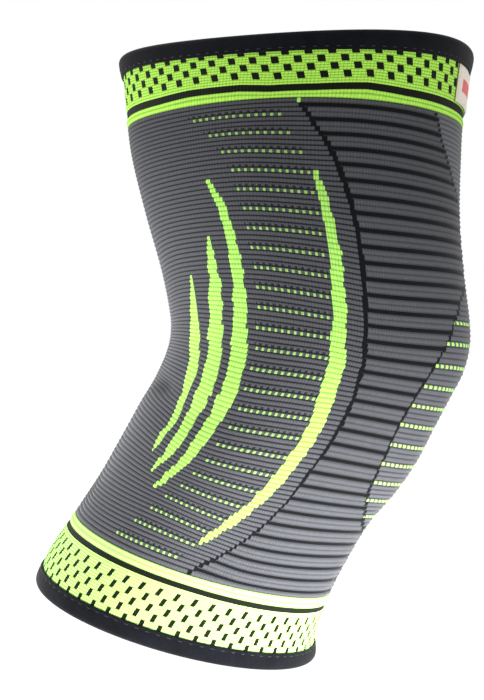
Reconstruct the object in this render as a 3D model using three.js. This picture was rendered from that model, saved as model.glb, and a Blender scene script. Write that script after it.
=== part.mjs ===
// A knitted knee sleeve in the shape it takes on a slightly bent knee, in millimetres.
// +X is the front of the knee, +Z runs up the thigh, and the origin is the middle of the knee.
// The sleeve is one ring section after another down the leg, each ring with its own tilt.
import * as THREE from 'three';

// Driving sizes of the worn shape
const kneeDepth = 134;
const kneeWidth = 115;
const thighRise = 121.5;
const calfDrop = 126;

// Cloth
const knitWall = 2.2;
const coursePitch = 1.97;
const coursesPerRib = 3;
const grooveDepth = 0.5;
const pieceGap = 0.3;

// Bands and bindings, as lengths measured down the middle line of the leg
const upperBandHeight = 31.1;
const lowerBandHeight = 32.5;
const upperBindingHeight = 8.6;
const lowerBindingHeight = 7.6;
const bindingWall = 0.9;
const bindingRoll = 0.4;
const bindingSwell = 0.24;
const bindingSwellShare = 0.86;
const bindingEdgeShare = 0.7;
const bindingSideDip = 2.6;
const bindingInnerShare = 0.85;

// Creases behind the knee
const creaseDrop = 36;
const creaseDepth = 1.8;
const creaseReach = 8;

// Label on the front of the upper band
const labelHalfAngle = 0.53;
const labelMargin = 0.8;
const labelWall = 0.7;
const upperLineHeight = 6;

// Mesh fineness
const sides = 32;
const innerRingPitch = 13;
const bandRingPitch = 5;
const bindingRollSteps = 6;
const labelRows = 3;
const labelColumns = 6;

// Rings from the top rim to the lower rim. Rise is a share of thighRise above the knee and of
// calfDrop below it; shift and depth are shares of kneeDepth, width a share of kneeWidth and
// sag a share of thighRise. Tilt is in degrees, front end down. Lean narrows the front against
// the back, and peak narrows both ends against the middle.
const rings = [
  { rise: 1.0, shift: -0.085, depth: 1.145, width: 1.2, tilt: 0.6, lean: -0.24, peak: 0.0, sag: 0.035 },
  { rise: 0.79, shift: -0.087, depth: 1.11, width: 1.195, tilt: 0.9, lean: -0.13, peak: 0.04, sag: 0.008 },
  { rise: 0.65, shift: -0.081, depth: 1.09, width: 1.185, tilt: 0.5, lean: -0.05, peak: 0.09, sag: 0 },
  { rise: 0.434, shift: -0.058, depth: 1.043, width: 1.14, tilt: 0.9, lean: 0.06, peak: 0.11, sag: 0 },
  { rise: 0.217, shift: -0.023, depth: 1.006, width: 1.057, tilt: 1.4, lean: 0.09, peak: 0.07, sag: 0 },
  { rise: 0.032, shift: 0.0, depth: 1.0, width: 1.0, tilt: 4.4, lean: 0.1, peak: 0.03, sag: 0 },
  { rise: -0.058, shift: -0.009, depth: 0.984, width: 0.991, tilt: 7.3, lean: 0.12, peak: 0.04, sag: 0 },
  { rise: -0.143, shift: -0.04, depth: 0.954, width: 0.985, tilt: 9.8, lean: 0.17, peak: 0.06, sag: 0 },
  { rise: -0.24, shift: -0.084, depth: 0.942, width: 0.975, tilt: 11.2, lean: 0.22, peak: 0.08, sag: 0 },
  { rise: -0.341, shift: -0.136, depth: 0.944, width: 0.97, tilt: 12.1, lean: 0.26, peak: 0.1, sag: 0 },
  { rise: -0.435, shift: -0.191, depth: 0.924, width: 0.964, tilt: 13.8, lean: 0.27, peak: 0.1, sag: 0 },
  { rise: -0.528, shift: -0.255, depth: 0.888, width: 0.963, tilt: 15.9, lean: 0.24, peak: 0.09, sag: 0 },
  { rise: -0.628, shift: -0.312, depth: 0.878, width: 0.964, tilt: 17.0, lean: 0.2, peak: 0.07, sag: 0 },
  { rise: -0.762, shift: -0.387, depth: 0.888, width: 0.97, tilt: 18.0, lean: 0.12, peak: 0.04, sag: 0 },
  { rise: -0.905, shift: -0.457, depth: 0.93, width: 0.97, tilt: 16.9, lean: 0.05, peak: 0.02, sag: 0 },
  { rise: -1.0, shift: -0.481, depth: 0.942, width: 0.969, tilt: 15.5, lean: 0.0, peak: 0.0, sag: 0 },
];

// The rings in millimetres and radians, each with its distance down the middle line
function sizeRings() {
  let along = 0;
  let last = null;
  return rings.map((ring) => {
    const z = ring.rise * (ring.rise > 0 ? thighRise : calfDrop);
    const x = ring.shift * kneeDepth;
    if (last) along += Math.hypot(x - last.x, z - last.z);
    last = { x, z };
    return {
      along,
      x,
      z,
      halfDepth: (ring.depth * kneeDepth) / 2,
      halfWidth: (ring.width * kneeWidth) / 2,
      tilt: THREE.MathUtils.degToRad(ring.tilt),
      lean: ring.lean,
      peak: ring.peak,
      sag: ring.sag * thighRise,
    };
  });
}

const stations = sizeRings();
const sleeveLength = stations[stations.length - 1].along;
const bodyStart = upperBandHeight;
const bodyEnd = sleeveLength - lowerBandHeight;

// Slope of one ring measure at station i, from its neighbours
function slopeAt(i, key) {
  const before = stations[Math.max(i - 1, 0)];
  const after = stations[Math.min(i + 1, stations.length - 1)];
  return (after[key] - before[key]) / (after.along - before.along);
}

// Every measure of the ring at a distance down the middle line, blended smoothly
function ringAt(along) {
  let i = 0;
  while (i < stations.length - 2 && along > stations[i + 1].along) i += 1;
  const from = stations[i];
  const to = stations[i + 1];
  const span = to.along - from.along;
  const t = (along - from.along) / span;
  const keys = ['x', 'z', 'halfDepth', 'halfWidth', 'tilt', 'lean', 'peak', 'sag'];
  const ring = {};
  for (const key of keys) {
    if (t <= 0 || t >= 1) {
      // Past either rim the last measures go on in a straight line
      const end = t <= 0 ? from : to;
      ring[key] = end[key] + (along - end.along) * slopeAt(t <= 0 ? i : i + 1, key);
    } else {
      const t2 = t * t;
      const t3 = t2 * t;
      ring[key] = (2 * t3 - 3 * t2 + 1) * from[key] + (3 * t2 - 2 * t3) * to[key]
        + (t3 - 2 * t2 + t) * span * slopeAt(i, key) + (t3 - t2) * span * slopeAt(i + 1, key);
    }
  }
  return ring;
}

// Where the creases lie along the leg
const creaseAlong = stations.find((station) => station.z < 0).along + creaseDrop;

// How far the soft creases draw the cloth in, one on each side of the back of the knee
function creaseAt(along, angle) {
  const behind = Math.max(0, -Math.cos(angle)) ** 2;
  const near = (along - creaseAlong) / creaseReach;
  return creaseDepth * 4 * behind * (1 - behind) * Math.exp(-near * near);
}

// A point of the sleeve: distance down the leg, angle from the front, and distance outside the knit
function pointAt(along, angle, out) {
  const ring = ringAt(along);
  const reach = out - creaseAt(along, angle);
  const cos = Math.cos(angle);
  const sin = Math.sin(angle);
  const fullness = (1 - ring.lean * cos - ring.peak * Math.cos(2 * angle)) / (1 + ring.peak);
  const forward = (ring.halfDepth + reach) * cos;
  return new THREE.Vector3(
    ring.x + forward * Math.cos(ring.tilt),
    (ring.halfWidth * fullness + reach) * sin,
    ring.z - forward * Math.sin(ring.tilt) - ring.sag * sin * sin,
  );
}

// A closed ring piece: the profile loop of [along, out, dip], swept round the leg. The dip is
// how much further down the leg the point lies at the sides than at the front and back.
function sweepRing(profile) {
  const positions = [];
  const index = [];
  for (const [along, out, dip] of profile) {
    for (let k = 0; k < sides; k += 1) {
      const angle = (k / sides) * 2 * Math.PI;
      const point = pointAt(along + dip * Math.sin(angle) ** 2, angle, out);
      positions.push(point.x, point.y, point.z);
    }
  }
  const loops = profile.length;
  for (let j = 0; j < loops; j += 1) {
    const a = j * sides;
    const b = ((j + 1) % loops) * sides;
    for (let k = 0; k < sides; k += 1) {
      const n = (k + 1) % sides;
      index.push(a + k, b + k, b + n, a + k, b + n, a + n);
    }
  }
  const geometry = new THREE.BufferGeometry();
  geometry.setAttribute('position', new THREE.Float32BufferAttribute(positions, 3));
  geometry.setIndex(index);
  geometry.computeVertexNormals();
  return geometry;
}

// Evenly spaced distances from start to end, both included
function steps(start, end, count) {
  return Array.from({ length: count + 1 }, (_, i) => start + ((end - start) * i) / count);
}

// A tube of cloth from start to end: its outer face, then its inner face back up. Relief gives
// the outer face's height at each step, and the dip of the start fades out towards the end.
function clothTube(start, end, outerSteps, innerSteps, relief, startDip) {
  const dipAt = (along) => (startDip * (end - along)) / (end - start);
  const outer = steps(start, end, outerSteps).map((along, i) => [along, relief(i), dipAt(along)]);
  const inner = steps(end, start, innerSteps).map((along) => [along, -knitWall, dipAt(along)]);
  return sweepRing([...outer, ...inner]);
}

// Main knitted tube, with a shallow groove every third course
function knitBody() {
  const start = bodyStart + pieceGap / 2;
  const end = bodyEnd - pieceGap / 2;
  const ribs = Math.round((end - start) / (coursePitch * coursesPerRib));
  const innerSteps = Math.max(1, Math.round((end - start) / innerRingPitch));
  return clothTube(start, end, ribs * 2, innerSteps, (i) => (i % 2 ? -grooveDepth : 0), 0);
}

// Checked band at one end of the sleeve
function knitBand(start, end, startDip) {
  const bandSteps = Math.max(2, Math.round((end - start) / bandRingPitch));
  return clothTube(start, end, bandSteps, bandSteps, () => 0, startDip);
}

// Soft tape folded over a rim, thinner at its outer edge and swollen above it. Down is 1 at the
// top rim and -1 at the lower rim.
function rimBinding(rim, down, height, sideDip) {
  const inside = -knitWall - pieceGap;
  const outFace = pieceGap + bindingWall;
  const inFace = inside - bindingWall;
  const innerHeight = height * bindingInnerShare;
  const middle = (outFace + inFace) / 2;
  const crown = (outFace - inFace) / 2 + bindingRoll;
  // Half round over the rim, from the outer face to the inner face
  const roll = steps(0, Math.PI, bindingRollSteps).map((turn) => [
    crown * (1 - Math.sin(turn)),
    middle + crown * Math.cos(turn),
  ]);
  const profile = [
    [height, pieceGap],
    [height, outFace * bindingEdgeShare],
    [height * bindingSwellShare, outFace + bindingSwell],
    ...roll,
    [innerHeight, inFace],
    [innerHeight, inside],
    [bindingWall + bindingRoll, inside],
    [bindingWall + bindingRoll, pieceGap],
  ];
  const placed = profile.map(([inFrom, out]) => [rim + down * inFrom, out, sideDip]);
  // The loop runs up the outer face, so it is turned round at the top rim
  if (down > 0) placed.reverse();
  return sweepRing(placed);
}

// Distance from a rim at which the banded cloth starts inside its folded tape
const clothInset = bindingWall + bindingRoll + pieceGap;

// Plain label, laid on the front of the upper band between the tape and the dark line
function frontLabel() {
  const top = upperBindingHeight + labelMargin;
  const bottom = upperBandHeight - upperLineHeight - labelMargin;
  const rows = steps(top, bottom, labelRows);
  const columns = steps(labelHalfAngle, -labelHalfAngle, labelColumns);
  const positions = [];
  for (const out of [pieceGap, pieceGap + labelWall]) {
    for (const along of rows) {
      for (const angle of columns) {
        const point = pointAt(along, angle, out);
        positions.push(point.x, point.y, point.z);
      }
    }
  }
  const wide = columns.length;
  const layer = rows.length * wide;
  const index = [];
  const quad = (a, b, c, d) => index.push(a, b, c, a, c, d);
  for (let r = 0; r < rows.length - 1; r += 1) {
    for (let c = 0; c < wide - 1; c += 1) {
      const back = r * wide + c;
      const face = layer + back;
      quad(face, face + 1, face + wide + 1, face + wide);
      quad(back, back + wide, back + wide + 1, back + 1);
    }
  }
  for (let c = 0; c < wide - 1; c += 1) {
    const low = layer - wide + c;
    quad(c, c + 1, layer + c + 1, layer + c);
    quad(low, layer + low, layer + low + 1, low + 1);
  }
  for (let r = 0; r < rows.length - 1; r += 1) {
    const left = r * wide;
    const right = left + wide - 1;
    quad(left, layer + left, layer + left + wide, left + wide);
    quad(right, right + wide, layer + right + wide, layer + right);
  }
  const geometry = new THREE.BufferGeometry();
  geometry.setAttribute('position', new THREE.Float32BufferAttribute(positions, 3));
  geometry.setIndex(index);
  geometry.computeVertexNormals();
  return geometry;
}

const greyKnit = new THREE.MeshStandardMaterial({ color: 0x5c5c62, roughness: 0.9, metalness: 0 });
const limeKnit = new THREE.MeshStandardMaterial({ color: 0xa6e84a, roughness: 0.85, metalness: 0 });
const blackTape = new THREE.MeshStandardMaterial({ color: 0x14151c, roughness: 0.95, metalness: 0 });
const paleLabel = new THREE.MeshStandardMaterial({ color: 0xc8c4a8, roughness: 0.7, metalness: 0 });

// Adds one named piece to the sleeve
function addPiece(group, name, geometry, material) {
  const mesh = new THREE.Mesh(geometry, material);
  mesh.name = name;
  group.add(mesh);
}

const sleeve = new THREE.Group();
addPiece(sleeve, 'knit_body', knitBody(), greyKnit);
addPiece(sleeve, 'upper_band', knitBand(clothInset, bodyStart - pieceGap / 2, bindingSideDip), limeKnit);
addPiece(sleeve, 'lower_band', knitBand(bodyEnd + pieceGap / 2, sleeveLength - clothInset, 0), limeKnit);
addPiece(sleeve, 'upper_binding', rimBinding(0, 1, upperBindingHeight, bindingSideDip), blackTape);
addPiece(sleeve, 'lower_binding', rimBinding(sleeveLength, -1, lowerBindingHeight, 0), blackTape);
addPiece(sleeve, 'front_label', frontLabel(), paleLabel);

export default sleeve;
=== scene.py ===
import logging
import math
from dataclasses import dataclass
from enum import Enum
from typing import Any, Callable, Mapping, Sequence

import bmesh
import bpy
import numpy as np
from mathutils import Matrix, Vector


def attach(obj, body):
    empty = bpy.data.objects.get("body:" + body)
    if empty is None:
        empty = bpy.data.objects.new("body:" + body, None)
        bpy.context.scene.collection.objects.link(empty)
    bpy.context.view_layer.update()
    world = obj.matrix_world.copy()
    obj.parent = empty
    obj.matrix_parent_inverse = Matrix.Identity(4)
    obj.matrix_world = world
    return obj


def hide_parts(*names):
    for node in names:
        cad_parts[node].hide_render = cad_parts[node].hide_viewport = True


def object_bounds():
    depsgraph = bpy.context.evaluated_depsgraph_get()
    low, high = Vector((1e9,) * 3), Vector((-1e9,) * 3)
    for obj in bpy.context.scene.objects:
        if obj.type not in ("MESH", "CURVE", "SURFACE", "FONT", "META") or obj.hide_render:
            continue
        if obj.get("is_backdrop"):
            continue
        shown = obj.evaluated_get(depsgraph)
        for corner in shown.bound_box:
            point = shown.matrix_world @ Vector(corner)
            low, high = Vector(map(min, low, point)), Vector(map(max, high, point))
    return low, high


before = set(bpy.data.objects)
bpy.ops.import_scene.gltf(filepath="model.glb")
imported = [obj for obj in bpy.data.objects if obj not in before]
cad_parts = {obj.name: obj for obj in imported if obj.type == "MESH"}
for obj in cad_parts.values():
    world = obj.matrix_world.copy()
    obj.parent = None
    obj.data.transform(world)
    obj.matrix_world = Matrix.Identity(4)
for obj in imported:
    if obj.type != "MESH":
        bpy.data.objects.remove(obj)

CAD_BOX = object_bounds()
log = logging.getLogger("knee_sleeve")

# Units and names shared by the pieces
MM = 0.001
KNIT_UV = "knit"
BODY = "root"
MIX = "ShaderNodeMix"
CURVE = "ShaderNodeFloatCurve"

# Values that a noise texture mostly keeps between, for yarn grain and for broad patches
GRAIN_SPREAD = (0.25, 0.75)
PATCH_SPREAD = (0.3, 0.7)

# Stitch count of the knit body: courses down the leg, wales round half the leg
COURSES = 102
WALES = 304

Plug = Any
Adder = Callable[..., Plug]


class Rim(Enum):
    """The two open ends of the sleeve, with the direction from the rim towards the knee."""

    THIGH = 1
    CALF = -1


def linear(colour: str) -> tuple[float, float, float, float]:
    """Turn an sRGB colour into linear light.

    Args:
        colour: six hex digits after a hash sign.

    Returns:
        Linear red, green, blue and full alpha.
    """
    toe, toe_slope, foot, gamma = 0.04045, 12.92, 0.055, 2.4
    shares = [int(colour[i:i + 2], 16) / 255 for i in (1, 3, 5)]
    light = [s / toe_slope if s <= toe else ((s + foot) / (1 + foot)) ** gamma for s in shares]
    return (light[0], light[1], light[2], 1.0)


class Bench:
    """A node tree that is being laid out."""

    def __init__(self, tree: bpy.types.NodeTree) -> None:
        """Keep the tree that nodes are added to."""
        self.tree = tree

    def add(self, kind: str, plugs: Sequence[Plug] | Mapping[int | str, Plug] = (), out: int | str = 0,
            points: Sequence[tuple[float, float]] = (), **settings: Any) -> bpy.types.NodeSocket:
        """Add a node with its settings and links.

        Args:
            kind: the node's type, or an operation of the Math node.
            plugs: values or sockets for its inputs, in order or by number or name; None leaves one.
            out: the output to hand back.
            points: curve points or colour stops, for a node that has them.
            settings: attributes of the node.

        Returns:
            The chosen output socket.
        """
        if "Node" not in kind:
            kind, settings = "ShaderNodeMath", {"operation": kind}
        node = self.tree.nodes.new(kind)
        for key, value in settings.items():
            setattr(node, key, value)
        if points:
            line = node.mapping.curves[0]
            for _ in range(len(points) - 2):
                line.points.new(0.5, 0.5)
            for point, place in zip(line.points, points):
                point.location = place
                point.handle_type = "VECTOR"
            node.mapping.use_clip = False
            node.mapping.update()
        pairs = plugs.items() if isinstance(plugs, Mapping) else enumerate(plugs)
        for key, plug in pairs:
            if plug is None:
                continue
            if isinstance(plug, bpy.types.NodeSocket):
                self.tree.links.new(plug, node.inputs[key])
            else:
                node.inputs[key].default_value = plug
        return node.outputs[out] if len(node.outputs) else None


def hermite(at: np.ndarray, values: np.ndarray, where: np.ndarray) -> np.ndarray:
    """Blend rows of values smoothly, and in straight lines past both ends.

    Args:
        at: the place of each row.
        values: one row of values for each place.
        where: the places that are wanted.

    Returns:
        One row of values for each wanted place.
    """
    last = len(at) - 1
    before = np.maximum(np.arange(last + 1) - 1, 0)
    after = np.minimum(np.arange(last + 1) + 1, last)
    slope = (values[after] - values[before]) / (at[after] - at[before])[:, None]
    i = np.clip(np.searchsorted(at, where, side="right") - 1, 0, last - 1)
    span = (at[i + 1] - at[i])[..., None]
    t = (where - at[i])[..., None] / span
    inner = np.clip(t, 0, 1)
    smooth = ((2 * inner**3 - 3 * inner**2 + 1) * values[i] + (3 * inner**2 - 2 * inner**3) * values[i + 1]
              + (inner**3 - 2 * inner**2 + inner) * span * slope[i]
              + (inner**3 - inner**2) * span * slope[i + 1])
    beyond = (t - inner) * span * np.where(t > 0.5, slope[i + 1], slope[i])
    return smooth + beyond


# Rings from the top rim to the lower rim: rise is a share of the thigh rise above the knee and
# of the calf drop below it, shift and depth are shares of the knee depth, width of the knee
# width, sag of the thigh rise. Tilt is in degrees, front end down.
RINGS = (
    # rise, shift, depth, width, tilt, lean, peak, sag
    (1.0, -0.085, 1.145, 1.2, 0.6, -0.24, 0.0, 0.035),
    (0.79, -0.087, 1.11, 1.195, 0.9, -0.13, 0.04, 0.008),
    (0.65, -0.081, 1.09, 1.185, 0.5, -0.05, 0.09, 0.0),
    (0.434, -0.058, 1.043, 1.14, 0.9, 0.06, 0.11, 0.0),
    (0.217, -0.023, 1.006, 1.057, 1.4, 0.09, 0.07, 0.0),
    (0.032, 0.0, 1.0, 1.0, 4.4, 0.1, 0.03, 0.0),
    (-0.058, -0.009, 0.984, 0.991, 7.3, 0.12, 0.04, 0.0),
    (-0.143, -0.04, 0.954, 0.985, 9.8, 0.17, 0.06, 0.0),
    (-0.24, -0.084, 0.942, 0.975, 11.2, 0.22, 0.08, 0.0),
    (-0.341, -0.136, 0.944, 0.97, 12.1, 0.26, 0.1, 0.0),
    (-0.435, -0.191, 0.924, 0.964, 13.8, 0.27, 0.1, 0.0),
    (-0.528, -0.255, 0.888, 0.963, 15.9, 0.24, 0.09, 0.0),
    (-0.628, -0.312, 0.878, 0.964, 17.0, 0.2, 0.07, 0.0),
    (-0.762, -0.387, 0.888, 0.97, 18.0, 0.12, 0.04, 0.0),
    (-0.905, -0.457, 0.93, 0.97, 16.9, 0.05, 0.02, 0.0),
    (-1.0, -0.481, 0.942, 0.969, 15.5, 0.0, 0.0, 0.0),
)


@dataclass(frozen=True)
class SleeveForm:
    """The worn shape of the sleeve, in millimetres, as the model's own rings give it."""

    knee_depth: float = 134.0
    knee_width: float = 115.0
    thigh_rise: float = 121.5
    calf_drop: float = 126.0
    upper_band: float = 31.1
    lower_band: float = 32.5
    crease_drop: float = 36.0
    crease_depth: float = 1.8
    crease_reach: float = 8.0
    knit_wall: float = 2.2

    def stations(self) -> tuple[np.ndarray, np.ndarray]:
        """Size the rings.

        Returns:
            Distances down the middle line, and a row of measures for each ring.
        """
        rise, shift, depth, width, tilt, lean, peak, sag = np.array(RINGS).T
        z = rise * np.where(rise > 0, self.thigh_rise, self.calf_drop)
        x = shift * self.knee_depth
        along = np.concatenate([[0.0], np.cumsum(np.hypot(np.diff(x), np.diff(z)))])
        rows = [x, z, depth * self.knee_depth / 2, width * self.knee_width / 2,
                np.radians(tilt), lean, peak, sag * self.thigh_rise]
        return along, np.stack(rows, -1)

    @property
    def length(self) -> float:
        """Length of the middle line from rim to rim."""
        return float(self.stations()[0][-1])

    @property
    def body_end(self) -> float:
        """Distance down the leg at which the knit body meets the lower band."""
        return self.length - self.lower_band

    def point(self, along: np.ndarray, angle: np.ndarray, out: np.ndarray | float) -> np.ndarray:
        """Find points of the sleeve.

        Args:
            along: distance down the middle line.
            angle: angle round the leg from its front, in radians.
            out: distance outside the knit's face.

        Returns:
            Points in millimetres, in the last axis.
        """
        at, rows = self.stations()
        x, z, half_depth, half_width, tilt, lean, peak, sag = np.moveaxis(hermite(at, rows, along), -1, 0)
        cos, sin = np.cos(angle), np.sin(angle)
        crease_at = at[np.argmax(rows[:, 1] < 0)] + self.crease_drop
        behind = np.maximum(0, -cos) ** 2
        near = (along - crease_at) / self.crease_reach
        reach = out - self.crease_depth * 4 * behind * (1 - behind) * np.exp(-near * near)
        fullness = (1 - lean * cos - peak * np.cos(2 * angle)) / (1 + peak)
        forward = (half_depth + reach) * cos
        return np.stack([x + forward * np.cos(tilt), (half_width * fullness + reach) * sin,
                         z - forward * np.sin(tilt) - sag * sin**2], -1)

    def angles(self, along: np.ndarray, around: np.ndarray) -> np.ndarray:
        """Find the angle at a share of the half girth, from the back centre to the front centre.

        Args:
            along: distances down the leg, a row for each and a column for each share.
            around: one share for each column, 0 at the back and 1 at the front.

        Returns:
            Angles from the front, 0 to pi, in the shape of along.
        """
        step, slices = 2.0, 721
        levels = np.arange(-step, self.length + 2 * step, step)
        turn = np.linspace(math.pi, 0, slices)
        girth = self.point(levels[:, None] + 0 * turn, turn + 0 * levels[:, None], 0.0)
        run = np.concatenate([np.zeros((len(levels), 1)),
                              np.cumsum(np.linalg.norm(np.diff(girth, axis=1), axis=-1), axis=1)], axis=1)
        table = np.stack([np.interp(around * r[-1], r, turn) for r in run])
        return np.stack([np.interp(along[:, k], levels, table[:, k]) for k in range(len(around))], -1)


FORM = SleeveForm()

# How far the courses run below even ones, in millimetres, at shares of the half girth
DRIFT_SHARES = (0.05, 0.18, 0.36, 0.5, 0.61, 0.87, 1.0)
COURSE_DRIFT = (
    # course, then the drift at each share
    (0, 0, 0, 0, 0, 0, 0, 0),
    (3.5, -0.8, -0.9, -0.9, -0.3, -0.3, 0.0, 0.5),
    (11.5, -2.3, -2.8, -3.0, -1.4, -1.3, -0.6, -0.3),
    (19.5, -2.3, -3.3, -4.0, -2.2, -1.3, -0.9, -0.5),
    (27.5, -2.1, -4.4, -4.7, -2.4, 0.1, 0.4, 0.8),
    (35.5, -1.6, -4.6, -4.8, -1.8, 1.1, 1.2, 1.5),
    (43.5, -2.0, -4.8, -3.7, -1.1, 1.1, 0.8, 1.0),
    (51.5, -3.0, -3.5, -1.0, -0.8, 0.5, 0.6, 0.6),
    (59.5, -4.6, -3.0, 1.6, 0.7, 0.3, 1.0, 1.1),
    (67.5, -7.9, -3.5, 2.9, 2.4, 1.6, 3.1, 3.3),
    (75.5, -7.9, -4.3, 3.3, 3.9, 3.3, 3.7, 3.8),
    (83.5, -2.8, -1.6, 2.1, 3.8, 3.8, 2.9, 3.2),
    (91.5, 0.2, 0.0, 0.0, 2.0, 3.3, 2.2, 2.4),
    (99.5, -1.0, -0.2, -0.5, -0.2, 1.1, 0.8, 0.9),
    (102, 0, 0, 0, 0, 0, 0, 0),
)


@dataclass(frozen=True)
class Stripe:
    """A lime stripe: its two toothed edges, as courses down the leg and wales from the back."""

    left: tuple[tuple[float, float], ...]
    right: tuple[tuple[float, float], ...]


STRIPES = (
    Stripe(
        ((36.5, 61), (37.5, 60), (45.5, 54), (50.5, 53), (54.5, 55.5), (56.5, 60.5), (60.5, 65.5),
         (62.5, 66.5), (65.5, 70), (66.5, 68.5), (68.5, 69.5), (73.5, 75.5), (75.5, 73), (79.5, 75.5),
         (80.5, 76.5)),
        ((36.5, 61), (37.5, 61.8), (47.5, 61.5), (48.5, 63), (49.5, 62.5), (51.5, 65), (54.5, 66.5),
         (55.5, 70), (60.5, 76), (68.5, 76.5), (71.5, 80), (78.5, 78.5), (79.5, 77), (80.5, 76.5))),
    Stripe(
        ((28.5, 84), (29.5, 82.5), (36.5, 77.5), (37.5, 79), (43.5, 73.5), (44.5, 74.5), (50.5, 72),
         (51.5, 72), (52.5, 75), (61.5, 83), (62.5, 83.5), (63.5, 82), (67.5, 84), (68.5, 82.5),
         (72.5, 87.5), (77.5, 87), (79.5, 88), (80.5, 85.5), (83.5, 85.5), (84.5, 87)),
        ((28.5, 84), (29.5, 85.5), (31.5, 85), (32.5, 86), (33.5, 85), (34.5, 86.5), (36.5, 85),
         (39.5, 87.5), (41.5, 85), (42.5, 85), (43.5, 86), (47.5, 83), (48.5, 85), (51.5, 85),
         (54.5, 89.5), (62.5, 96), (63.5, 94), (65.5, 95), (66.5, 93.5), (68.5, 93), (70.5, 95.5),
         (71.5, 95), (72.5, 96.5), (76.5, 95.5), (78.5, 94.5), (82.5, 89), (83.5, 88.5), (84.5, 87))),
    Stripe(
        ((16.5, 91.5), (17.5, 90), (18.5, 90.5), (22.5, 95.5), (26.5, 96.5), (27.5, 97.5), (29.5, 96.5),
         (31.5, 97.5), (33.5, 96), (35.5, 96.5), (37.5, 95.5), (38.5, 96.5), (42.5, 93), (43.5, 94),
         (47.5, 91.5), (50.5, 91.5), (51.5, 92), (52.5, 94.5), (61.5, 102), (62.5, 100), (66.5, 102),
         (67.5, 100.5), (69.5, 102.5), (70.5, 101.5), (72.5, 103.5), (73.5, 102), (75.5, 103.5),
         (76.5, 102.5), (79.5, 102), (80.5, 100), (81.5, 100), (82.5, 98), (84.5, 98), (85.5, 95.5),
         (87.5, 94.5), (88.5, 94.5)),
        ((16.5, 91.5), (17.5, 93), (18.5, 95.5), (19.5, 96), (21.5, 100.5), (22.5, 100.5), (23.5, 102.5),
         (25.5, 102), (26.5, 103.5), (27.5, 103), (28.5, 104.5), (30.5, 103), (33.5, 105), (35.5, 104),
         (36.5, 105.5), (39.5, 102.5), (40.5, 104.5), (42.5, 102.5), (43.5, 103.5), (47.5, 101),
         (48.5, 103), (50.5, 103), (51.5, 105.5), (61.5, 113.5), (68.5, 111), (70.5, 112.5),
         (78.5, 109.5), (79.5, 107.5), (81.5, 106.5), (83.5, 103), (84.5, 103), (86.5, 98.5),
         (87.5, 94.5), (88.5, 94.5))),
    Stripe(
        ((14.5, 156.5), (15.5, 155), (22.5, 158), (28.5, 159.5), (30.5, 158.5), (32.5, 159),
         (35.5, 157.5), (36.5, 158.5), (39.5, 156.5), (41.5, 157.5), (47.5, 155), (64.5, 167),
         (65.5, 165.5), (69.5, 167.5), (70.5, 166), (72.5, 167), (73.5, 165.5), (75.5, 166.5),
         (76.5, 164.5), (78.5, 165), (79.5, 163.5), (82.5, 162), (83.5, 160), (84.5, 159.5), (86.5, 155),
         (87.5, 155), (88.5, 152.5), (89.5, 152), (91.5, 147.5), (92.5, 147.5), (93.5, 145),
         (94.5, 144.5), (95.5, 146)),
        ((14.5, 156.5), (15.5, 158), (16.5, 158), (18.5, 161.5), (19.5, 161.5), (20.5, 163.5),
         (22.5, 163), (25.5, 165.5), (27.5, 164.5), (30.5, 167), (32.5, 165.5), (33.5, 167), (36.5, 165),
         (37.5, 166.5), (39.5, 165), (40.5, 166.5), (44.5, 164), (45.5, 165.5), (48.5, 165),
         (49.5, 167.5), (61.5, 176), (65.5, 177.5), (66.5, 176), (68.5, 177.5), (69.5, 176), (70.5, 177),
         (71.5, 175.5), (73.5, 176.5), (74.5, 175), (75.5, 175.5), (81.5, 171.5), (83.5, 167),
         (84.5, 167), (86.5, 162.5), (87.5, 162), (90.5, 155), (91.5, 154.5), (94.5, 147), (95.5, 146))),
)

# Black line between the side and the front: course, wale, half width in wales
CONTOUR = ((0, 146, 1.2), (4.2, 153.5, 1.5), (8.3, 161.2, 1.6), (11.9, 166.6, 1.7), (17.5, 173.5, 1.8),
           (21.7, 176.6, 1.8), (25, 178.6, 1.8), (34.4, 178.8, 1.8), (43.3, 177.3, 1.7), (47.2, 177.8, 1.7),
           (50.8, 180.8, 1.7), (54.2, 183.5, 1.7), (58.3, 187.3, 1.7), (63.3, 189, 1.6), (68.3, 188.5, 1.4),
           (76.7, 187.3, 1.2), (81.1, 186.6, 1.1), (84.4, 183.5, 1.0), (87.8, 178.1, 1.0), (91.4, 171.2, 1.0),
           (94.4, 165, 1.0), (97.2, 159.7, 1.0), (99.4, 153.5, 1.0), (102, 147.5, 1.0))

# Edge of the plain wedge at the top of the front: course, wale
WEDGE = ((0, 232), (1.9, 237.2), (5.3, 244.1), (8.9, 254.1), (11.7, 262.6), (15, 274.8), (20, 291), (24, 304))

# Edge of the pale lens below the kneecap: course, wale
LENS = ((31, 304), (33, 292), (35, 278), (37, 266), (39.2, 261), (41.4, 253), (43.9, 248.7), (47.8, 240.5),
        (50.6, 237.3), (54.4, 236.5), (58.9, 237.2), (63.3, 238.8), (69.4, 244), (75.3, 250.3), (77.8, 258),
        (80.6, 267), (83.3, 276.5), (85.2, 288), (87, 304))

# Rows of lime dots on the side: course, wale of the first dot, wale of the last
DOTS = ((3.5, 85.5, 133), (7.5, 96, 142), (11.5, 103.5, 148.5), (15.5, 109, 152.5), (23.5, 113.5, 155.5),
        (35.5, 113, 155), (43.5, 111, 153.5), (47.5, 109, 153.5), (55.5, 114, 158.5), (63.5, 119.5, 163.5),
        (75.5, 120, 165), (83.5, 115, 160.5), (87.5, 108.5, 154), (91.5, 103, 148), (95.5, 96.5, 142),
        (99.5, 88, 135.5))


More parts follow.
